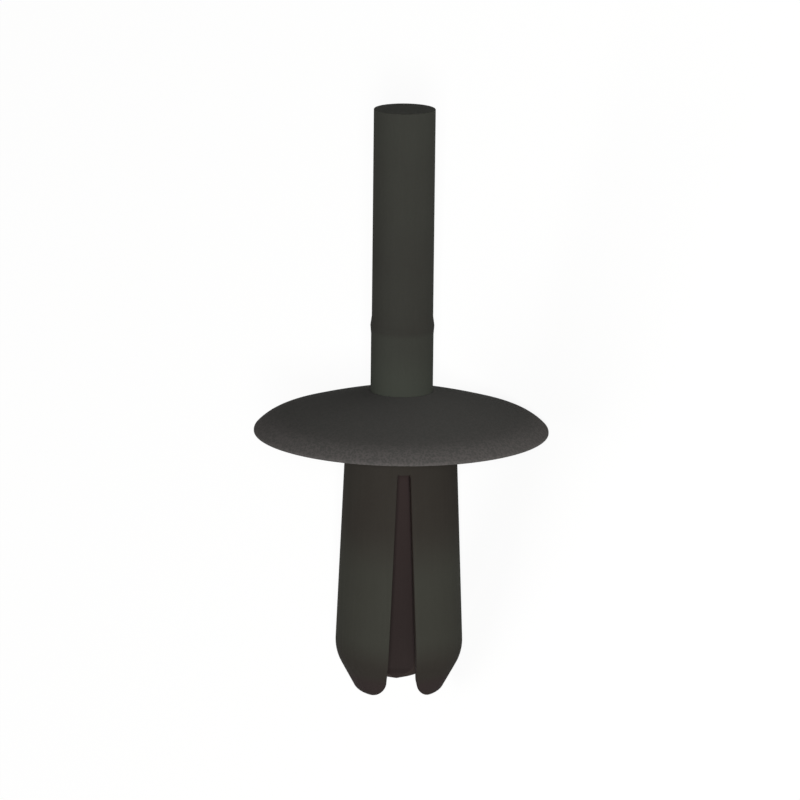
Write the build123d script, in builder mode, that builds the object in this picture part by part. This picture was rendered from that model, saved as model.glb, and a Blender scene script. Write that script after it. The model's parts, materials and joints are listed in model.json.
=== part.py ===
from build123d import *
import os
from math import asin, atan2, cos, degrees, hypot, radians, sin, sqrt, tan

# Push rivet with a 16 mm head for a 6.5 mm panel hole. Sizes are mm and degrees.
# The rivet's own axis runs from the leg ends (below zero) to the drive pin (above zero).
# Heights are measured along that axis from the head's seating face.

# head: a crown of three blended arcs, a thin lip and a narrow seat under it
head_radius = 8.0
crown_radius = 9.7
crown_turn = 13.1
flank_turn = 4.4
brow_radius = 2.8
brow_turn = 28.7
lip_radius = 0.18
lip_land = 0.06
lip_edge = 0.03
seat_width = 1.1
seat_inner_edge = 0.25
underside_rise = 0.85
root_fillet = 0.45

# collar and legs
collar_radius = 3.07
collar_length = 1.72
leg_count = 3
leg_end_depth = 14.5
leg_flare = 2.3
nose_length = 2.24
nose_taper = 28.5
shoulder_fillet = 2.5
leg_end_fillet = 0.6
leg_end_inner_fillet = 0.3

# slots between the legs
slot_top_width = 0.70
slot_side_angle = 2.3
leg_corner_radius = 1.1

# bore
bore_radius = 1.75
bore_mouth_edge = 0.06

# drive pin
driven_clearance = 0.06
bead_clearance = 0.02
pin_relief = 0.03
bead_rise = 3.65
bead_half_width = 0.5
pin_hidden_length = 1.0
pin_lead_in = 0.45
pin_foot_gap = 0.27
pin_top_edge = 0.04

# crown outline, worked back from the lip to the bore
crown_end = radians(crown_turn)
flank_end = radians(crown_turn + flank_turn)
brow_end = radians(crown_turn + flank_turn + brow_turn)
brow_end_radius = head_radius - lip_radius * (1 - sin(brow_end))
flank_end_radius = brow_end_radius - brow_radius * (sin(brow_end) - sin(flank_end))
flank_start_radius = crown_radius * sin(crown_end)
flank_radius = (flank_end_radius - flank_start_radius) / (sin(flank_end) - sin(crown_end))
bore_slope = asin(bore_radius / crown_radius)
crown_drop = crown_radius * (cos(bore_slope) - cos(crown_end))
flank_drop = flank_radius * (cos(crown_end) - cos(flank_end))
brow_drop = brow_radius * (cos(flank_end) - cos(brow_end))
mouth_height = lip_land + lip_radius * cos(brow_end) + brow_drop + flank_drop + crown_drop
seat_inner_radius = head_radius - seat_width

# leg outline
leg_end_height = -leg_end_depth
shoulder_height = leg_end_height + nose_length
shoulder_radius = collar_radius + (-collar_length - shoulder_height) * tan(radians(leg_flare))
nose_end_radius = shoulder_radius - nose_length * tan(radians(nose_taper))

# The pin's length follows the legs: driven flush with the crown, its foot ends just inside them,
# and the bore narrows only past that foot.
driven_foot_height = leg_end_height + pin_foot_gap
pin_standing_length = mouth_height - pin_hidden_length - driven_foot_height
pin_foot_height = mouth_height - pin_hidden_length
pin_top_height = mouth_height + pin_standing_length
bead_height = mouth_height + bead_rise
bead_radius = bore_radius - bead_clearance
driven_radius = bore_radius - driven_clearance
pin_radius = driven_radius - pin_relief
bore_straight_end = driven_foot_height + pin_lead_in - driven_clearance
bore_exit_radius = driven_radius - pin_lead_in + driven_clearance
leg_end_wall = nose_end_radius - bore_exit_radius

# The rivet lies as it comes to rest: on the lowest point of the head's edge and on the two leg
# edges beside one slot. The floor runs from the upper corner of the lip's bevelled edge along the
# tangent to the shoulder arc, which sits a little nearer the axis at the slot than on the leg's middle.
shoulder_tangent = shoulder_fillet * tan(radians(leg_flare + nose_taper) / 2)
arc_out = shoulder_radius - shoulder_tangent * sin(radians(leg_flare)) - shoulder_fillet * cos(radians(leg_flare))
arc_up = shoulder_height + shoulder_tangent * cos(radians(leg_flare)) - shoulder_fillet * sin(radians(leg_flare))
slot_half_width = slot_top_width / 2 + (-collar_length - shoulder_height) * tan(radians(slot_side_angle))
slot_edge_drop = shoulder_radius - sqrt(shoulder_radius**2 - slot_half_width**2)
reach_out = head_radius - arc_out + slot_edge_drop
reach_along = lip_edge - arc_up
rest_tilt = atan2(reach_out, reach_along) - asin(shoulder_fillet / hypot(reach_out, reach_along))
rest_height = head_radius * cos(rest_tilt) - lip_edge * sin(rest_tilt)

# middle of the lying rivet along the floor, so that the frame's origin is under it
leg_end_arc_radius = nose_end_radius - leg_end_fillet * tan(radians(45 - nose_taper / 2))
pin_reach = (pin_top_height - pin_top_edge) * cos(rest_tilt) + (pin_radius - pin_top_edge) * sin(rest_tilt)
leg_reach = (leg_end_height + leg_end_fillet) * cos(rest_tilt) - leg_end_arc_radius * sin(rest_tilt)
middle_x = (pin_reach + pin_top_edge + leg_reach - leg_end_fillet) / 2

# planes of the lying rivet: across its axis, and the section that its profiles are drawn on
down = (sin(rest_tilt), 0, -cos(rest_tilt))
axis_way = (cos(rest_tilt), 0, sin(rest_tilt))
rivet_plane = Plane(origin=(-middle_x, 0, rest_height), x_dir=down, z_dir=axis_way)
section_plane = Plane(origin=rivet_plane.origin, x_dir=down, z_dir=(0, -1, 0))
rivet_axis = Axis(rivet_plane.origin, rivet_plane.z_dir)


def corner(sketch, radius, height):
    """The outline's corner nearest to a radius and height."""
    return sketch.vertices().sort_by_distance(Vector(radius, height, 0))[0]


with BuildPart() as rivet_body:
    # head, collar and legs as one turned profile
    with BuildSketch(section_plane) as wall:
        with BuildLine():
            crown = JernArc(
                start=(bore_radius, mouth_height),
                tangent=(cos(bore_slope), -sin(bore_slope)),
                radius=crown_radius,
                arc_size=-(crown_turn - degrees(bore_slope)),
            )
            flank = JernArc(start=crown @ 1, tangent=crown % 1, radius=flank_radius, arc_size=-flank_turn)
            brow = JernArc(start=flank @ 1, tangent=flank % 1, radius=brow_radius, arc_size=-brow_turn)
            lip = JernArc(
                start=brow @ 1,
                tangent=brow % 1,
                radius=lip_radius,
                arc_size=-(90 - crown_turn - flank_turn - brow_turn),
            )
            Polyline(
                lip @ 1,
                (head_radius, 0),
                (seat_inner_radius, 0),
                (collar_radius, underside_rise),
                (collar_radius, -collar_length),
                (shoulder_radius, shoulder_height),
                (nose_end_radius, leg_end_height),
                (bore_exit_radius, leg_end_height),
                (bore_radius, bore_straight_end),
                (bore_radius, mouth_height),
            )
        make_face()
        chamfer(corner(wall, head_radius, 0), lip_edge)
        chamfer(corner(wall, seat_inner_radius, 0), seat_inner_edge)
        fillet(corner(wall, collar_radius, underside_rise), root_fillet)
        fillet(corner(wall, shoulder_radius, shoulder_height), shoulder_fillet)
        fillet(corner(wall, nose_end_radius, leg_end_height), min(leg_end_fillet, 0.65 * leg_end_wall))
        fillet(corner(wall, bore_exit_radius, leg_end_height), min(leg_end_inner_fillet, 0.3 * leg_end_wall))
        chamfer(corner(wall, bore_radius, mouth_height), bore_mouth_edge)
    revolve(axis=rivet_axis)

    # slots, wider toward the leg ends, with mouths that round the legs' corners
    slot_planes = []
    for leg in range(leg_count):
        turned = Plane(rivet_plane.location * Rotation(0, 0, leg * 360 / leg_count))
        slot_planes.append(Plane(origin=turned.origin, x_dir=turned.y_dir, z_dir=turned.x_dir))
    mouth_start = leg_end_height + leg_corner_radius
    mouth_half = slot_top_width / 2 + (-collar_length - mouth_start) * tan(radians(slot_side_angle))
    with BuildSketch(*slot_planes) as slot:
        with BuildLine():
            side = Polyline(
                (0, -collar_length),
                (slot_top_width / 2, -collar_length),
                (mouth_half, mouth_start),
            )
            mouth = JernArc(
                start=side @ 1,
                tangent=(0, -1),
                radius=leg_corner_radius,
                arc_size=90,
            )
            Polyline(mouth @ 1, mouth @ 1 - (0, 1), (0, leg_end_height - 1))
            mirror(about=Plane.YZ)
        make_face()
    extrude(amount=shoulder_radius + 1, mode=Mode.SUBTRACT)
rivet_body.part.label = "rivet_body"

# plain pin with a ring bead, its blunt foot hidden in the head's bore
with BuildPart() as drive_pin:
    with BuildSketch(section_plane) as pin_section:
        with BuildLine():
            Polyline(
                (0, pin_foot_height),
                (driven_radius - pin_lead_in, pin_foot_height),
                (driven_radius, pin_foot_height + pin_lead_in),
                (driven_radius, bead_height - bead_half_width),
                (bead_radius, bead_height),
                (pin_radius, bead_height + bead_half_width),
                (pin_radius, pin_top_height),
                (0, pin_top_height),
                close=True,
            )
        make_face()
        fillet(corner(pin_section, pin_radius, pin_top_height), pin_top_edge)
    revolve(axis=rivet_axis)
drive_pin.part.label = "drive_pin"

os.makedirs("parts", exist_ok=True)
export_step(rivet_body.part, "parts/rivet_body.step")
export_step(drive_pin.part, "parts/drive_pin.step")
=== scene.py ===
import json
import math
import bmesh
import bpy
import numpy as np
from mathutils import Matrix, Vector


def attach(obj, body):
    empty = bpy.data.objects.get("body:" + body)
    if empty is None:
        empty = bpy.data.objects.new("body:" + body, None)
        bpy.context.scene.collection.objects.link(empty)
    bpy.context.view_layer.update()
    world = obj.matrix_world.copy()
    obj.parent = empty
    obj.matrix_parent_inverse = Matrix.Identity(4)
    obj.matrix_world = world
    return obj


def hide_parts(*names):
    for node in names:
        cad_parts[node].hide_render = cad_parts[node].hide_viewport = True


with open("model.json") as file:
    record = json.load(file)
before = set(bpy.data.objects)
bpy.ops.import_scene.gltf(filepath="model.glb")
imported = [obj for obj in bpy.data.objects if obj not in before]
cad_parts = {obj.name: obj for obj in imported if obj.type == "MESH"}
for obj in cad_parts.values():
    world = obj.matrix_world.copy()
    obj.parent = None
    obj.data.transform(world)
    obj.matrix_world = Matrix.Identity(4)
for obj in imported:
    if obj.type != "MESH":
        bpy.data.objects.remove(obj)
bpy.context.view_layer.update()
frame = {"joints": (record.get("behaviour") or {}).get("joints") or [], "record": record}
mm = 0.001
print("frame loaded")

# the lying rivet's own axes: x points down, y is the frame's y, and z runs from the legs to the pin
mounts = {mount["name"]: mount for mount in frame["record"]["mounts"]}
pinWay = -np.array(frame["joints"][0]["axis"])
pinWay /= np.linalg.norm(pinWay)
sideWay = np.array([0.0, 1.0, 0.0])
downWay = np.cross(sideWay, pinWay)
ownAxes = np.stack([downWay, sideWay, pinWay])
shankMiddle = np.array(mounts["shank"]["pos_m"])
seatPoint = np.array(mounts["under_head"]["pos_m"])
seatCentre = shankMiddle + pinWay * ((seatPoint - shankMiddle) @ pinWay)


def inFrame(points):
    # own x, y and z times the three axes, moved to the middle of the head's seat
    return points @ ownAxes + seatCentre


def placedAt(place, right, up, back):
    # the matrix that turns an object's own x, y and z to the three ways, then moves it to the place
    turn = Matrix(np.stack([right, up, back], 1).tolist()).to_4x4()
    return Matrix.Translation(Vector(place)) @ turn


def hexToLinear(text):
    # each sRGB channel turned to linear light by the standard curve, with full opacity
    channels = [int(text[i:i + 2], 16) / 255 for i in (1, 3, 5)]
    return [c / 12.92 if c <= 0.04045 else ((c + 0.055) / 1.055) ** 2.4 for c in channels] + [1.0]


# camera: a long lens as in the photograph, which looks a little down on the head from the pin's side
cameraSettings = {
    "distance": 300 * mm,
    "elevation": 13.50,      # degrees above the head's seat, toward the pin
    "azimuth": 236.4,        # degrees around the rivet from its lowest side, 3.6 short of a slot
    "lens": 248.8,           # mm
    "sensorWidth": 36,       # mm
    "roll": 0.64,            # degrees
    "pan": -0.00028,         # turns of the view to its right and up, as shares of its forward way
    "tilt": 0.00564,
    "nearest": 1 * mm,
    "farthest": 20.0,
}


def cameraWays(settings):
    # The place is on a sphere around the seat: cosines and sines of elevation and azimuth times the
    # distance. The forward way gets its shares of right and up, and then right and up turn by the roll.
    e, a = math.radians(settings["elevation"]), math.radians(settings["azimuth"])
    away = np.array([math.cos(e) * math.cos(a), math.cos(e) * math.sin(a), math.sin(e)])
    right = np.array([-math.sin(a), math.cos(a), 0.0])
    up = np.cross(right, -away)
    forward = -away + right * settings["pan"] + up * settings["tilt"]
    forward /= np.linalg.norm(forward)
    right = np.cross(forward, [0.0, 0.0, 1.0])
    right /= np.linalg.norm(right)
    up = np.cross(right, forward)
    r = math.radians(settings["roll"])
    right, up = right * math.cos(r) + up * math.sin(r), up * math.cos(r) - right * math.sin(r)
    return inFrame(away * settings["distance"]), right @ ownAxes, up @ ownAxes, -forward @ ownAxes


viewPlace, viewRight, viewUp, viewBack = cameraWays(cameraSettings)


def addCamera(settings):
    # the camera stands at the view's place, turned to its three ways
    data = bpy.data.cameras.new("photoCamera")
    data.lens = settings["lens"]
    data.sensor_width = settings["sensorWidth"]
    data.clip_start = settings["nearest"]
    data.clip_end = settings["farthest"]
    camera = bpy.data.objects.new("photoCamera", data)
    camera.matrix_world = placedAt(viewPlace, viewRight, viewUp, viewBack)
    bpy.context.scene.collection.objects.link(camera)
    bpy.context.scene.camera = camera


addCamera(cameraSettings)
print("camera placed")


# paths and grids
def roundedPath(corners, radii, step, arcStep):
    # Straight runs between the corners. A corner with a radius becomes an arc tangent to both runs,
    # which starts radius times the tangent of half the turn before the corner. The steps are the most
    # length along a run and the most degrees along an arc.
    corners = np.asarray(corners, float)
    pieces = [corners[:1]]
    here = corners[0]
    for i in range(1, len(corners)):
        last = i == len(corners) - 1
        way = (corners[i] - here) / np.linalg.norm(corners[i] - here)
        turn, reach = 0.0, 0.0
        if not last and radii[i] > 0:
            nextWay = (corners[i + 1] - corners[i]) / np.linalg.norm(corners[i + 1] - corners[i])
            turn = math.atan2(way[0] * nextWay[1] - way[1] * nextWay[0], way @ nextWay)
            reach = radii[i] * math.tan(abs(turn) / 2)
        end = corners[i] - way * reach
        length = np.linalg.norm(end - here)
        share = np.linspace(0, 1, max(1, math.ceil(length / step)) + 1)[1:, None]
        pieces.append(here + (end - here) * share)
        here = end
        if turn:
            left = np.array([-way[1], way[0]]) * math.copysign(1, turn)
            count = max(2, math.ceil(abs(math.degrees(turn)) / arcStep))
            angle = np.linspace(0, abs(turn), count + 1)[1:, None]
            pieces.append(end + radii[i] * (way * np.sin(angle) + left * (1 - np.cos(angle))))
            here = pieces[-1][-1]
    return np.concatenate(pieces)


def arcChain(start, heading, radii, turns, steps):
    # Arcs that bend clockwise, each tangent to the one before it: radius times the sine of the bend
    # along the heading, and radius less radius times its cosine inward.
    pieces = []
    here, angle = np.asarray(start, float), math.radians(heading)
    for radius, turn, count in zip(radii, turns, steps):
        bend = np.linspace(0, math.radians(turn), count + 1)[1:, None]
        way = np.array([math.cos(angle), math.sin(angle)])
        inward = np.array([math.sin(angle), -math.cos(angle)])
        pieces.append(here + radius * (way * np.sin(bend) + inward * (1 - np.cos(bend))))
        here, angle = pieces[-1][-1], angle - math.radians(turn)
    return np.concatenate(pieces)


def gridFaces(rows, columns, closed):
    # four corners of each cell of a grid whose columns may close on themselves, row by row
    top = np.arange(rows - 1)[:, None] * columns
    left = np.arange(columns if closed else columns - 1)[None, :]
    right = (left + 1) % columns
    return np.stack([top + left, top + right, top + columns + right, top + columns + left], -1)


def turned(path, azimuth):
    # a path of radius and height carried round the axis; azimuth holds one angle a row and column
    radius, height = path[:, :1], path[:, 1:]
    return np.stack([radius * np.cos(azimuth), radius * np.sin(azimuth), height + 0 * azimuth], -1)


meshSettings = {
    "weld": 0.0005 * mm,        # points nearer than this become one
    "shortest": 0.0002 * mm,    # edges shorter than this are dissolved
    "sharpAngle": 40,           # degrees between two faces, from which their edge stays sharp
}


def addPiece(name, patches, materials, settings):
    # Every patch is a grid of points, whether its columns close, and the number of its material, which
    # is one for all or one a column. Shared edges are welded.
    places, faces, finish, count = [], [], [], 0
    for points, closed, number in patches:
        cells = gridFaces(points.shape[0], points.shape[1], closed)
        places.append(points.reshape(-1, 3))
        faces.append(cells.reshape(-1, 4) + count)
        finish.append(np.broadcast_to(number, cells.shape[:2]).ravel())
        count += len(places[-1])
    places = inFrame(np.concatenate(places) * mm)
    mesh = bpy.data.meshes.new(name)
    mesh.from_pydata(places.tolist(), [], np.concatenate(faces).tolist())
    mesh.polygons.foreach_set("material_index", np.concatenate(finish).astype(np.int32))
    for material in materials:
        mesh.materials.append(material)
    shape = bmesh.new()
    shape.from_mesh(mesh)
    bmesh.ops.remove_doubles(shape, verts=shape.verts, dist=settings["weld"])
    bmesh.ops.dissolve_degenerate(shape, edges=shape.edges, dist=settings["shortest"])
    bmesh.ops.recalc_face_normals(shape, faces=shape.faces)
    shape.to_mesh(mesh)
    shape.free()
    mesh.shade_smooth()
    mesh.set_sharp_from_angle(angle=math.radians(settings["sharpAngle"]))
    piece = bpy.data.objects.new(name, mesh)
    bpy.context.scene.collection.objects.link(piece)
    return piece


# finishes
def addNode(tree, kind, settings=None, links=None):
    # settings go to the socket of that name or number, or else to the node itself
    node = tree.nodes.new(kind)
    for key, value in (settings or {}).items():
        if isinstance(key, int) or key in node.inputs:
            node.inputs[key].default_value = value
        else:
            setattr(node, key, value)
    for key, source in (links or {}).items():
        tree.links.new(source, node.inputs[key])
    return node


def emptyMaterial(name):
    # a material whose nodes are still to come
    material = bpy.data.materials.new(name)
    material.use_nodes = True
    material.node_tree.nodes.clear()
    return material


def rivetPlaces(tree):
    # object coordinates turned into the rivet's own axes, in metres from the seat's middle
    coordinates = addNode(tree, "ShaderNodeTexCoord")
    back = Matrix(ownAxes.tolist())
    mapping = addNode(
        tree,
        "ShaderNodeMapping",
        {"Location": -(back @ Vector(seatCentre)), "Rotation": back.to_euler()},
        {"Vector": coordinates.outputs["Object"]},
    )
    return mapping.outputs["Vector"]


def paintedLightShare(tree, places, settings):
    # Three values for each place. The first is its share of painted light and shade: a ramp along the
    # rivet's axis, whose 0 to 1 spans the reach, times the second. The second rises from 0 to 1 between
    # two radii. The third is how far along the reach the place lies.
    low, high = settings["reach"]
    near = settings["outsideFrom"]
    heights = addNode(tree, "ShaderNodeSeparateXYZ", None, {"Vector": places})
    along = addNode(
        tree,
        "ShaderNodeMapRange",
        {"From Min": low * mm, "From Max": high * mm},
        {"Value": heights.outputs["Z"]},
    )
    ramp = addNode(tree, "ShaderNodeValToRGB", None, {"Fac": along.outputs[0]})
    ramp.color_ramp.interpolation = "EASE"
    stops = ramp.color_ramp.elements    # two to begin with
    for i, (height, share) in enumerate(settings["paintedLight"]):
        position = (height - low) / (high - low)
        stop = stops[i] if i < 2 else stops.new(position)
        stop.position = position
        stop.color = (share, share, share, 1)
    flat = addNode(tree, "ShaderNodeVectorMath", {"operation": "MULTIPLY", 1: (1, 1, 0)}, {0: places})
    radius = addNode(tree, "ShaderNodeVectorMath", {"operation": "LENGTH"}, {0: flat.outputs[0]})
    outside = addNode(
        tree,
        "ShaderNodeMapRange",
        {"From Min": near * mm, "From Max": (near + settings["outsideRise"]) * mm},
        {"Value": radius.outputs["Value"]},
    )
    share = addNode(
        tree,
        "ShaderNodeMath",
        {"operation": "MULTIPLY"},
        {0: ramp.outputs["Color"], 1: outside.outputs[0]},
    )
    return share.outputs[0], outside.outputs[0], along.outputs[0]


def addSurface(tree, settings, tone, relief, rough=None):
    # the relief raises the surface by the grain's depth; roughness is even, or follows a node
    bump = addNode(
        tree,
        "ShaderNodeBump",
        {"Strength": 1.0, "Distance": settings["grainDepth"]},
        {"Height": relief.outputs["Value"]},
    )
    links = {"Base Color": tone.outputs[2], "Normal": bump.outputs["Normal"]}
    if rough is not None:
        links["Roughness"] = rough.outputs[0]
    shader = addNode(
        tree,
        "ShaderNodeBsdfPrincipled",
        {
            "Roughness": settings["roughness"],
            "IOR": settings["ior"],
            "Specular IOR Level": settings["specular"],
        },
        links,
    )
    addNode(tree, "ShaderNodeOutputMaterial", None, {"Surface": shader.outputs[0]})


# Heights, radii and reach are mm from the seat and the axis. Each pair of the painted light ramp is a
# height and a share.
satinNylon = {
    # the dark warm brown is the shaded tone and the paler green-grey the lit one: painted light and
    # shade, which the clouds also mix
    "colour": "#26221F",
    "paler": "#353731",
    "inside": ("#282221", "#342B2A"),    # painted shade on the inner faces, nearer the axis than the outside's start: browner than the outside, darkest at the reach's low end by the legs' tips; one tone at each end of the reach
    # painted light and shade: the legs paler in their lower middle, darker toward the head, whose shade
    # falls there, and toward the tips that face away from the light
    "paintedLight": ((-12.8, 0.0), (-10.8, 0.38), (-7.8, 0.40), (-4.6, 0.0)),
    "reach": (-15.0, 3.0),
    "outsideFrom": 2.75,
    "outsideRise": 0.3,         # radius over which the outside tone and its painted light set in
    "roughness": 0.88,
    "ior": 1.53,
    "specular": 0.045,
    "cloudSize": 3.5 * mm,     # slow change of tone where the melt flowed
    "cloudDetail": 3.0,
    "cloudShare": 0.30,        # of the paler tone in the palest cloud
    "drawWidth": 0.16 * mm,    # marks of the mould's polishing, along the way that the part leaves it
    "drawLength": 5.0 * mm,
    "drawDetail": 2.0,
    "drawRange": (0.3, 0.7),   # nearly all of the noise lies between these
    "drawRoughness": 0.06,     # more or less rough at the ends of that range
    "drawRelief": 0.5,         # of the grain's depth
    "grainSize": 0.11 * mm,    # real grain is near 0.03 mm; twice a picture point, so that it shows
    "grainDetail": 2.0,
    "grainDepth": 0.0016 * mm,
}
pinNylon = {
    **satinNylon,
    "colour": "#262422",
    "paler": "#353832",
    # painted light: the pin paler from its foot to the bead, where the head shades it, and a little
    # toward its top
    "paintedLight": ((2.3, 0.66), (5.4, 0.33), (5.8, 0.08), (7.0, 0.13), (17.7, 0.22)),
    "reach": (0.0, 18.0),
    "outsideFrom": -0.3,    # all of the pin counts as outside
}
# the slots' walls, painted paler toward the slots' top where they lie in shade: painted light, all
# counted as inside
slotNylon = {**satinNylon, "inside": ("#2D2624", "#524741"), "outsideFrom": 9.0}


def makeSatinNylon(name, settings):
    # Polyamide filled with carbon black, moulded against a plain tool steel wall. That gives the eye a
    # dark warm grey with a soft wide sheen, faint streaks along the draw and hardly any grain.
    # A ramp of painted light and shade along the axis and a painted tone on the inner faces are mixed
    # into its colour.
    material = emptyMaterial(name)
    tree = material.node_tree
    places = rivetPlaces(tree)
    cloud = addNode(
        tree,
        "ShaderNodeTexNoise",
        {"Scale": 1 / settings["cloudSize"], "Detail": settings["cloudDetail"]},
        {"Vector": places},
    )
    drawWidth, drawLength = settings["drawWidth"], settings["drawLength"]
    stretch = addNode(
        tree,
        "ShaderNodeMapping",
        {"Scale": Vector([1 / drawWidth, 1 / drawWidth, 1 / drawLength])},
        {"Vector": places},
    )
    streak = addNode(
        tree,
        "ShaderNodeTexNoise",
        {"Scale": 1.0, "Detail": settings["drawDetail"]},
        {"Vector": stretch.outputs[0]},
    )
    grain = addNode(
        tree,
        "ShaderNodeTexNoise",
        {"Scale": 1 / settings["grainSize"], "Detail": settings["grainDetail"]},
        {"Vector": places},
    )
    # painted light and shade along the axis, the share of the outside, and the place along the reach
    paintedLight, outside, along = paintedLightShare(tree, places, settings)
    pale = addNode(
        tree,
        "ShaderNodeMath",
        {"operation": "MULTIPLY_ADD", 1: settings["cloudShare"]},
        {0: cloud.outputs["Fac"], 2: paintedLight},
    )
    skin = addNode(
        tree,
        "ShaderNodeMix",
        {"data_type": "RGBA", 6: hexToLinear(settings["colour"]), 7: hexToLinear(settings["paler"])},
        {"Factor": pale.outputs[0]},
    )
    # painted tone of the inner faces along the reach: painted shade inside the legs, painted light on
    # the slots' walls
    low, high = settings["inside"]
    inside = addNode(
        tree,
        "ShaderNodeMix",
        {"data_type": "RGBA", 6: hexToLinear(low), 7: hexToLinear(high)},
        {"Factor": along},
    )
    tone = addNode(
        tree,
        "ShaderNodeMix",
        {"data_type": "RGBA"},
        {"Factor": outside, 6: inside.outputs[2], 7: skin.outputs[2]},
    )
    rough = addNode(
        tree,
        "ShaderNodeMapRange",
        {
            "From Min": settings["drawRange"][0],
            "From Max": settings["drawRange"][1],
            "To Min": settings["roughness"] - settings["drawRoughness"],
            "To Max": settings["roughness"] + settings["drawRoughness"],
        },
        {"Value": streak.outputs["Fac"]},
    )
    relief = addNode(
        tree,
        "ShaderNodeMath",
        {"operation": "MULTIPLY_ADD", 1: settings["drawRelief"]},
        {0: streak.outputs["Fac"], 2: grain.outputs["Fac"]},
    )
    addSurface(tree, settings, tone, relief, rough)
    return material


erodedNylon = {
    "colour": "#3A3A38",
    "paler": "#4E4A49",
    # painted light: a paler band round the lip and brow, where the light falls on the head's front
    "paintedLight": ((0.0, 0.50), (0.35, 0.45), (1.25, 0.06), (2.3, 0.0)),
    "reach": (-0.5, 2.5),
    "outsideFrom": 2.5,
    "outsideRise": 0.3,
    "plainShare": 0.08,        # of the paler tone where no painted light is added
    "roughness": 0.95,
    "ior": 1.53,
    "specular": 0.03,
    "craterSize": 0.12 * mm,   # spark-eroded craters are 0.05 to 0.1 mm wide; drawn as coarse as shows
    "craterRelief": 0.6,
    "grainSize": 0.20 * mm,    # rise and fall of the surface under a few craters
    "grainDetail": 4.0,
    "grainDepth": 0.007 * mm,
    "reliefRange": (0.65, 0.95),
    "speckle": (0.4, 1.3),     # how much of the paler tone shows at the ends of that range
}


def makeErodedNylon(name, settings):
    # The same polyamide, moulded against spark-eroded steel. Its fine craters scatter light, so that
    # the head looks drier and a little paler than the legs, with a fine speckle. A paler band round the
    # lip is painted light, and the speckle shows mostly there.
    material = emptyMaterial(name)
    tree = material.node_tree
    places = rivetPlaces(tree)
    craters = addNode(
        tree,
        "ShaderNodeTexVoronoi",
        {"Scale": 1 / settings["craterSize"]},
        {"Vector": places},
    )
    grain = addNode(
        tree,
        "ShaderNodeTexNoise",
        {"Scale": 1 / settings["grainSize"], "Detail": settings["grainDetail"]},
        {"Vector": places},
    )
    relief = addNode(
        tree,
        "ShaderNodeMath",
        {"operation": "MULTIPLY_ADD", 1: settings["craterRelief"]},
        {0: craters.outputs["Distance"], 2: grain.outputs["Fac"]},
    )
    speckle = addNode(
        tree,
        "ShaderNodeMapRange",
        {
            "From Min": settings["reliefRange"][0],
            "From Max": settings["reliefRange"][1],
            "To Min": settings["speckle"][0],
            "To Max": settings["speckle"][1],
        },
        {"Value": relief.outputs["Value"]},
    )
    # painted light: the paler band at the lip
    paintedLight = paintedLightShare(tree, places, settings)[0]
    amount = addNode(
        tree,
        "ShaderNodeMath",
        {"operation": "ADD", 1: settings["plainShare"]},
        {0: paintedLight},
    )
    pale = addNode(
        tree,
        "ShaderNodeMath",
        {"operation": "MULTIPLY"},
        {0: amount.outputs[0], 1: speckle.outputs[0]},
    )
    tone = addNode(
        tree,
        "ShaderNodeMix",
        {"data_type": "RGBA", 6: hexToLinear(settings["colour"]), 7: hexToLinear(settings["paler"])},
        {"Factor": pale.outputs[0]},
    )
    addSurface(tree, settings, tone, relief)
    return material


satin = makeSatinNylon("satinBlackNylon", satinNylon)
pinSatin = makeSatinNylon("pinBlackNylon", pinNylon)
slotSatin = makeSatinNylon("slotBlackNylon", slotNylon)
eroded = makeErodedNylon("erodedBlackNylon", erodedNylon)
print("finishes made")

# head, collar and legs, in millimetres and degrees, with heights from the seat
body = {
    "boreRadius": 1.75,
    "mouthHeight": 2.261,
    "webRadius": 1.695,       # rest of the thin web that held the pin in the bore's mouth
    "webDepth": 0.12,         # of its underside below the mouth
    "webTaper": 0.05,         # depth over which its underside runs out to the bore
    "webRise": 0.02,          # of its top above the mouth
    "webEdge": 0.008,         # rounding beside the pin
    "webWidth": 0.08,         # of its flat top
    "webBrink": 0.03,         # rounding at that top's outside, where the slope to the crown starts
    "webSlope": 0.16,         # width of that slope
    "crownRadius": 9.7,
    "crownTurn": 13.1,
    "flankTurn": 4.4,
    "browRadius": 2.8,
    "browTurn": 28.7,
    "lipRadius": 0.18,
    "headRadius": 8.0,
    "lipEdge": 0.03,
    "seatInner": 6.9,
    "seatInnerEdge": 0.25,
    "undersideRise": 0.85,
    "rootFillet": 0.45,
    "collarRadius": 3.07,
    "collarEnd": -1.72,
    "shoulderRadius": 3.493,
    "shoulderHeight": -12.26,
    "shoulderFillet": 2.5,
    "noseEndRadius": 2.277,
    "legEnd": -14.5,
    "legEndFillet": 0.6,
    "boreStraightEnd": -13.84,
    "boreTurnFillet": 0.3,
    "boreExitRadius": 1.30,
    "legInnerFillet": 0.29,
    "legs": 3,
    "slotTopWidth": 0.70,
    "slotSideAngle": 2.3,
    "legCornerRadius": 1.1,
    "legEdge": 0.04,          # rounding of the legs' long edges
    "legEdgeShare": 0.45,     # the most of a leg's way from its middle to a slot that it takes
    # columns across a slot, round a leg, across a slot's wall and round an edge
    "slotColumns": 8,
    "legColumns": 72,
    "wallColumns": 6,
    "edgeColumns": 4,
    # points on the crown, flank, brow and lip, and steps of the other paths
    "crownPoints": (4, 26, 26, 5),
    "headStep": 0.3,
    "headArcStep": 15,
    "legStep": 0.05,
    "legArcStep": 1,
    # rows down a leg: where the edges' rounding grows, the long part, the shoulder and the mouth;
    # the first two are measured down from the collar's end
    "edgeRows": (0, 0.02, 0.05, 0.09, 0.15, 0.22),
    "longStart": 0.35,
    "longRows": 36,
    "shoulderStart": -11.3,
    "shoulderGap": 0.1,
    "shoulderRows": 18,
    "mouthRows": 30,
    "tipTrials": 4000,        # heights at which the legs' tips are looked for, and how far short of
    "tipMargin": 0.0001,      # the legs' end that stops
}
legSpan = 2 * math.pi / body["legs"]    # the angle from one slot to the next
hair = 1e-6                             # mm, for rounding errors
satinNumber, erodedNumber, slotNumber = range(3)
bodyFinishes = [satin, eroded, slotSatin]


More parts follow.
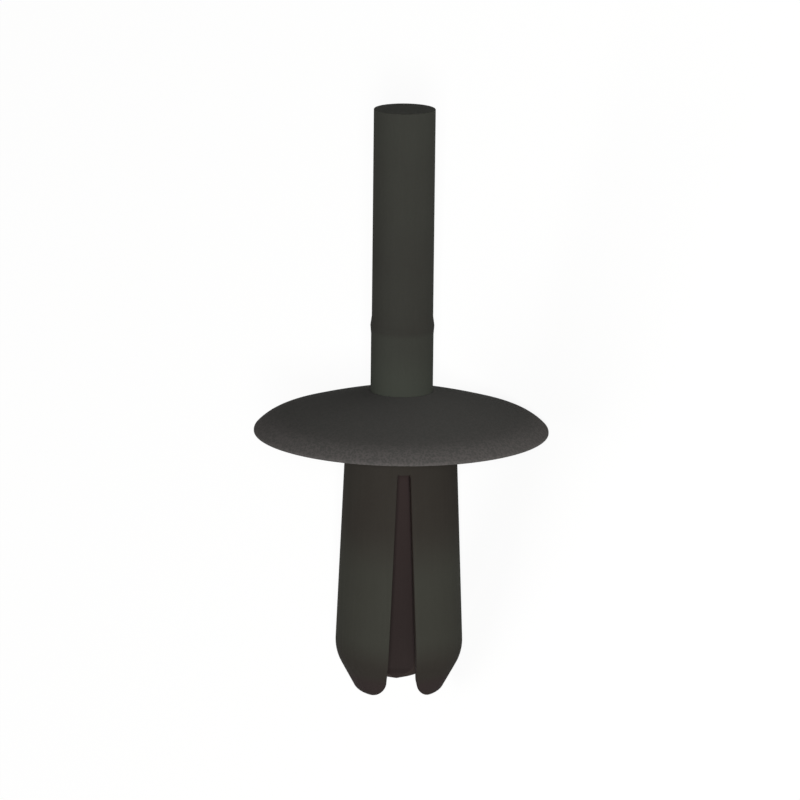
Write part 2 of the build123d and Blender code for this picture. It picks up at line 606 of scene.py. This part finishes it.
def crownPath(b):
    # Three tangent arcs from the bore over the crown, and the thin lip's arc down to upright. The
    # flank's radius is the way out that is left to it over the difference of its ends' sines.
    boreSlope = math.degrees(math.asin(b["boreRadius"] / b["crownRadius"]))
    ends = np.cumsum([b["crownTurn"], b["flankTurn"], b["browTurn"]])
    crownSine, flankSine, browSine = np.sin(np.radians(ends))
    browEndRadius = b["headRadius"] - b["lipRadius"] * (1 - browSine)
    flankEndRadius = browEndRadius - b["browRadius"] * (browSine - flankSine)
    flankRadius = (flankEndRadius - b["crownRadius"] * crownSine) / (flankSine - crownSine)
    return arcChain(
        (b["boreRadius"], b["mouthHeight"]),
        -boreSlope,
        (b["crownRadius"], flankRadius, b["browRadius"], b["lipRadius"]),
        (b["crownTurn"] - boreSlope, b["flankTurn"], b["browTurn"], 90 - ends[-1]),
        b["crownPoints"],
    )


def slotColumns(b, radius):
    # Azimuths round the shank at the slots' top, from the first slot's middle: even steps across each
    # slot, whose arcsines over the radius are taken, then even steps of angle across each leg.
    half = b["slotTopWidth"] / 2
    edge = math.asin(half / radius)
    across = np.arcsin(np.linspace(-half, half, b["slotColumns"] + 1)[:-1] / radius)
    along = np.linspace(edge, legSpan - edge, b["legColumns"] + 1)[:-1]
    single = np.concatenate([across, along])
    azimuth = np.concatenate([single + k * legSpan for k in range(b["legs"])])
    middle = b["slotColumns"] // 2
    return np.concatenate([azimuth[middle:], azimuth[:middle] + 2 * math.pi])


def headPatch(b):
    # The outline of the bore's upper end, web, crown, lip, underside and collar, carried right round.
    # Its columns start where the slots cut the bore, are even at the crown, and end where the slots
    # cut the collar.
    webEnd = b["webRadius"] + b["webWidth"]
    webTop = b["mouthHeight"] + b["webRise"]
    webFoot = b["mouthHeight"] - b["webDepth"]
    crown = crownPath(b)
    crown = crown[crown[:, 0] > webEnd + b["webSlope"]]
    corners = [
        (b["boreRadius"], b["collarEnd"], 0),
        (b["boreRadius"], webFoot - b["webTaper"], 0),
        (b["webRadius"], webFoot, 0),
        (b["webRadius"], webTop, b["webEdge"]),
        (webEnd, webTop, b["webBrink"]),
        *np.column_stack([crown, np.zeros(len(crown))]),
        (b["headRadius"], 0, b["lipEdge"]),
        (b["seatInner"], 0, b["seatInnerEdge"]),
        (b["collarRadius"], b["undersideRise"], b["rootFillet"]),
        (b["collarRadius"], b["collarEnd"], 0),
    ]
    corners = np.array(corners)
    path = roundedPath(corners[:, :2], corners[:, 2], b["headStep"], b["headArcStep"])
    inner = slotColumns(b, b["boreRadius"])
    outer = slotColumns(b, b["collarRadius"])
    even = np.arange(len(inner)) * 2 * math.pi / len(inner)
    # share of the bore's columns fades out up the bore, share of the collar's fades in down the collar
    rise = np.clip((path[:, 1] - b["collarEnd"]) / (b["mouthHeight"] - b["collarEnd"]), 0, 1)
    fall = np.clip((path[:, 1] - b["collarEnd"]) / (b["undersideRise"] - b["collarEnd"]), 0, 1)
    onBore = (path[:, 0] <= b["boreRadius"] + hair) & (path[:, 1] < webTop)
    onCollar = (path[:, 0] <= b["collarRadius"] + hair) & ~onBore & (path[:, 1] < b["undersideRise"])
    boreShare = np.where(onBore, 1 - rise, 0)[:, None]
    collarShare = np.where(onCollar, 1 - fall, 0)[:, None]
    azimuth = even + boreShare * (inner - even) + collarShare * (outer - even)
    return path, turned(path, azimuth)


def slotRoot(b, azimuth):
    # the flat end of a slot: lines across the wall, from the collar's outside to the bore
    across = np.linspace(-1, 1, b["slotColumns"] + 1)[None, :] * b["slotTopWidth"] / 2
    outside = np.sqrt(b["collarRadius"] ** 2 - across**2)
    inside = np.sqrt(b["boreRadius"] ** 2 - across**2)
    share = np.linspace(0, 1, b["wallColumns"] + 1)[:, None]
    out = outside + (inside - outside) * share
    x = out * math.cos(azimuth) - across * math.sin(azimuth)
    y = out * math.sin(azimuth) + across * math.cos(azimuth)
    return np.stack([x, y, np.full(out.shape, b["collarEnd"])], -1)


def legSizes(b, height):
    # Outer radius, inner radius and the slots' half width at each height. The radii come from the leg's
    # two outlines. The half width grows with the side angle's tangent, and in the mouth also by its
    # arc: radius times one less the root of one less the squared share of the way down.
    outerPath = roundedPath(
        [
            (b["collarRadius"], b["collarEnd"]),
            (b["shoulderRadius"], b["shoulderHeight"]),
            (b["noseEndRadius"], b["legEnd"]),
            (b["boreExitRadius"], b["legEnd"]),
        ],
        [0, b["shoulderFillet"], b["legEndFillet"], 0],
        b["legStep"],
        b["legArcStep"],
    )
    innerPath = roundedPath(
        [
            (b["boreRadius"], b["collarEnd"]),
            (b["boreRadius"], b["boreStraightEnd"]),
            (b["boreExitRadius"], b["legEnd"]),
            (b["noseEndRadius"], b["legEnd"]),
        ],
        [0, b["boreTurnFillet"], b["legInnerFillet"], 0],
        b["legStep"],
        b["legArcStep"],
    )
    outer = np.interp(-height, -outerPath[:, 1], outerPath[:, 0])
    inner = np.interp(-height, -innerPath[:, 1], innerPath[:, 0])
    mouthStart = b["legEnd"] + b["legCornerRadius"]
    slope = math.tan(math.radians(b["slotSideAngle"]))
    down = np.clip((mouthStart - height) / b["legCornerRadius"], 0, 1)
    half = b["slotTopWidth"] / 2 + (b["collarEnd"] - np.maximum(height, mouthStart)) * slope
    half = half + b["legCornerRadius"] * (1 - np.sqrt(1 - down**2))
    return outer, inner, half


def legRows(b):
    # heights down a leg, to the tip, where the two mouths meet on its outside
    mouthStart = b["legEnd"] + b["legCornerRadius"]
    trial = np.linspace(mouthStart, b["legEnd"] + b["tipMargin"], b["tipTrials"])
    outer, _, half = legSizes(b, trial)
    tip = trial[np.argmax(outer * math.sin(legSpan / 2) <= half)]
    turnEnd = math.asin((mouthStart - tip) / b["legCornerRadius"])
    mouthTurn = np.linspace(0, turnEnd, b["mouthRows"] + 1)[1:]
    return np.concatenate(
        [
            b["collarEnd"] - np.array(b["edgeRows"]),
            np.linspace(
                b["collarEnd"] - b["longStart"],
                b["shoulderStart"] + b["shoulderGap"],
                b["longRows"],
            ),
            np.linspace(b["shoulderStart"], mouthStart, b["shoulderRows"]),
            mouthStart - b["legCornerRadius"] * np.sin(mouthTurn),
        ]
    )


def legPatch(b, middle):
    # At each height a leg's section is the part of a ring between two slots. It is drawn as a ring
    # part set back by the edge's rounding, and every point of it is pushed out again along its normal,
    # which turns at the corners, so that they come out round.
    height = legRows(b)[:, None]
    outer, inner, half = legSizes(b, height)
    sine = math.sin(legSpan / 2)
    edge = b["legEdge"] * np.clip((b["collarEnd"] - height) / b["edgeRows"][-1], 0, 1)
    edge = np.minimum(edge, np.maximum(0, (outer * sine - half) * b["legEdgeShare"]))
    ringOut = np.maximum(outer - edge, (half + edge) / sine)
    ringIn = np.maximum(inner + edge, (half + edge) / sine)
    ringIn = np.minimum(ringIn, ringOut)
    spanOut = legSpan / 2 - np.arcsin(np.minimum(1, (half + edge) / ringOut))
    spanIn = legSpan / 2 - np.arcsin(np.minimum(1, (half + edge) / ringIn))

    def way(angle):
        # cosine and sine of each angle
        return np.stack([np.cos(angle), np.sin(angle)], -1)

    arc = np.linspace(-1, 1, b["legColumns"] + 1)[None, :]
    bend = np.linspace(0, 1, b["edgeColumns"] + 1)[None, 1:-1]
    share = np.linspace(0, 1, b["wallColumns"] + 1)[None, 1:-1, None]
    wallWay = np.full_like(spanOut, (math.pi + legSpan) / 2)    # normals of the slots' two walls
    backWay = 2 * math.pi - wallWay
    cornerOut, cornerIn = ringOut[..., None] * way(spanOut), ringIn[..., None] * way(spanIn)
    mirror = np.array([1, -1])
    backOut, backIn = cornerOut * mirror, cornerIn * mirror
    # places, angles of the normals and finish, from the outer face over one wall to the inner face,
    # and back over the other wall
    runs = [
        (ringOut[..., None] * way(arc * spanOut), arc * spanOut, satinNumber),
        (cornerOut, spanOut + bend * (wallWay - spanOut), satinNumber),
        (cornerOut, wallWay, slotNumber),
        (cornerOut + (cornerIn - cornerOut) * share, wallWay, slotNumber),
        (cornerIn, wallWay, satinNumber),
        (cornerIn, wallWay + bend * (math.pi + spanIn - wallWay), satinNumber),
        (ringIn[..., None] * way(-arc * spanIn), math.pi - arc * spanIn, satinNumber),
        (backIn, math.pi - spanIn + bend * (backWay - math.pi + spanIn), satinNumber),
        (backIn, backWay, slotNumber),
        (backIn + (backOut - backIn) * share, backWay, slotNumber),
        (backOut, backWay, satinNumber),
        (backOut, backWay + bend * (2 * math.pi - spanOut - backWay), satinNumber),
    ]
    parts = [place + edge[..., None] * way(normal) for place, normal, _ in runs]
    finish = [np.full(part.shape[1], number) for part, (_, _, number) in zip(parts, runs)]
    turn = np.stack([way(middle), way(middle + math.pi / 2)])
    flat = np.concatenate(parts, 1) @ turn
    upright = np.broadcast_to(height[..., None], flat.shape[:2] + (1,))
    return np.concatenate([flat, upright], -1), np.concatenate(finish)


def makeBody(b):
    # the turned head and collar, then the three slots' ends and the three legs
    path, head = headPatch(b)
    # the crown and lip are spark-eroded; the seat, underside, bore, collar and legs are satin
    crownStart = np.argmax(path[:, 0] > b["boreRadius"] + hair)
    seatStart = crownStart + np.argmax(path[crownStart:, 1] < b["lipEdge"] / 2)
    patches = [
        (head[:crownStart], True, satinNumber),
        (head[crownStart - 1:seatStart + 1], True, erodedNumber),
        (head[seatStart:], True, satinNumber),
    ]
    for k in range(b["legs"]):
        patches.append((slotRoot(b, k * legSpan), False, slotNumber))
        leg, finish = legPatch(b, (k + 0.5) * legSpan)
        patches.append((leg, True, finish))
    return addPiece("rivetBody", patches, bodyFinishes, meshSettings)


rivetBody = makeBody(body)
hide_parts("rivet_body")
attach(rivetBody, "body")
print("head, collar and legs made:", len(rivetBody.data.polygons), "faces")

# drive pin, in millimetres and degrees, with heights from the seat
pin = {
    "footHeight": 1.261,
    "footRadius": 1.24,
    "leadIn": 0.45,
    "leadInFillet": 0.1,
    "lowerRadius": 1.69,
    "beadHeight": 5.911,
    "beadHalf": 0.5,
    "beadRadius": 1.73,
    "beadEdge": 0.12,
    "upperRadius": 1.66,
    "topHeight": 17.752,
    "topEdge": 0.04,
    "poleRadius": 0.02,    # of the smallest ring round the middle of the foot and the top
    "columns": 180,
    "step": 0.15,
    "arcStep": 12,
}


def makePin(p):
    # an outline of radius and height from the foot's middle to the top's middle, carried right round
    corners = [
        (p["poleRadius"], p["footHeight"], 0),
        (p["footRadius"], p["footHeight"], p["leadInFillet"]),
        (p["lowerRadius"], p["footHeight"] + p["leadIn"], p["leadInFillet"]),
        (p["lowerRadius"], p["beadHeight"] - p["beadHalf"], 0),
        (p["beadRadius"], p["beadHeight"], p["beadEdge"]),
        (p["upperRadius"], p["beadHeight"] + p["beadHalf"], 0),
        (p["upperRadius"], p["topHeight"], p["topEdge"]),
        (p["poleRadius"], p["topHeight"], 0),
    ]
    corners = np.array(corners)
    path = roundedPath(corners[:, :2], corners[:, 2], p["step"], p["arcStep"])
    path = np.concatenate([[(0, p["footHeight"])], path, [(0, p["topHeight"])]])
    azimuth = np.arange(p["columns"])[None, :] * 2 * math.pi / p["columns"]
    patch = turned(path, azimuth + 0 * path[:, :1])
    return addPiece("drivePin", [(patch, True, 0)], [pinSatin], meshSettings)


drivePin = makePin(pin)
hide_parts("drive_pin")
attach(drivePin, "pin")
print("drive pin made:", len(drivePin.data.polygons), "faces")

# floor
floorSettings = {
    "half": 1.5,           # metres from its middle to its edge
    "colour": "#F8F8F6",
    "whiteShare": 0.90,    # of plain white in what the view sees; the rest keeps the shadow
}


def whiteForView(tree, plain, share):
    # camera, glossy and transmission rays see the plain shader mixed with white of strength 1
    rays = addNode(tree, "ShaderNodeLightPath")
    seen = rays.outputs["Is Camera Ray"]
    for kind in ("Is Glossy Ray", "Is Transmission Ray"):
        either = addNode(
            tree,
            "ShaderNodeMath",
            {"operation": "MAXIMUM"},
            {0: seen, 1: rays.outputs[kind]},
        )
        seen = either.outputs[0]
    part = addNode(tree, "ShaderNodeMath", {"operation": "MULTIPLY", 1: share}, {0: seen})
    white = addNode(tree, "ShaderNodeEmission", {"Color": (1, 1, 1, 1), "Strength": 1.0})
    links = {0: part.outputs[0], 1: plain, 2: white.outputs[0]}
    return addNode(tree, "ShaderNodeMixShader", None, links)


def makeFloor(settings):
    # one flat face at height 0
    half = settings["half"]
    mesh = bpy.data.meshes.new("floor")
    corners = [(-half, -half, 0), (half, -half, 0), (half, half, 0), (-half, half, 0)]
    mesh.from_pydata(corners, [], [(0, 1, 2, 3)])
    material = emptyMaterial("palePaper")
    tree = material.node_tree
    paper = addNode(tree, "ShaderNodeBsdfDiffuse", {"Color": hexToLinear(settings["colour"])})
    mixed = whiteForView(tree, paper.outputs[0], settings["whiteShare"])
    addNode(tree, "ShaderNodeOutputMaterial", None, {"Surface": mixed.outputs[0]})
    mesh.materials.append(material)
    floor = bpy.data.objects.new("floor", mesh)
    bpy.context.scene.collection.objects.link(floor)


makeFloor(floorSettings)

# Light: a pale room and two softboxes. Each way is right, up and back from the rivet as the
# photographer sees it. The front box stands behind the camera. The ceiling box is at the left of the
# view, which is up in the room, because the rivet lies and the camera is turned with it.
roomLight = {"colour": "#F4F1EE", "strength": 0.14, "whiteShare": 1.0}
softboxes = {
    "frontBox": {
        "way": (0.0, -0.05, 1.0),
        "distance": 0.40,
        "width": 0.03,
        "height": 0.08,
        "brightness": 243.0,
    },
    "ceilingBox": {
        "way": (-0.93, -0.30, 0.25),
        "distance": 0.60,
        "width": 0.50,
        "height": 0.50,
        "brightness": 2.3,
    },
}


def lightRoom(settings):
    # the world: dim even light on the object, and plain white where the view sees it
    world = bpy.data.worlds.new("room")
    bpy.context.scene.world = world
    world.use_nodes = True
    tree = world.node_tree
    tree.nodes.clear()
    room = addNode(
        tree,
        "ShaderNodeBackground",
        {"Color": hexToLinear(settings["colour"]), "Strength": settings["strength"]},
    )
    mixed = whiteForView(tree, room.outputs[0], settings["whiteShare"])
    addNode(tree, "ShaderNodeOutputWorld", None, {"Surface": mixed.outputs[0]})


def addSoftbox(name, settings):
    # power is pi times the area times how bright the box's face looks, where white is 1
    data = bpy.data.lights.new(name, "AREA")
    data.shape = "RECTANGLE"
    data.size, data.size_y = settings["width"], settings["height"]
    data.energy = math.pi * data.size * data.size_y * settings["brightness"]
    back = np.array(settings["way"]) @ np.stack([viewRight, viewUp, viewBack])
    back /= np.linalg.norm(back)
    across = np.cross(viewUp, back)
    across /= np.linalg.norm(across)
    box = bpy.data.objects.new(name, data)
    place = seatCentre + back * settings["distance"]
    box.matrix_world = placedAt(place, across, np.cross(back, across), back)
    bpy.context.scene.collection.objects.link(box)


lightRoom(roomLight)
for boxName, boxSettings in softboxes.items():
    addSoftbox(boxName, boxSettings)
bpy.context.scene.view_settings.view_transform = "Standard"
print("floor and light set")
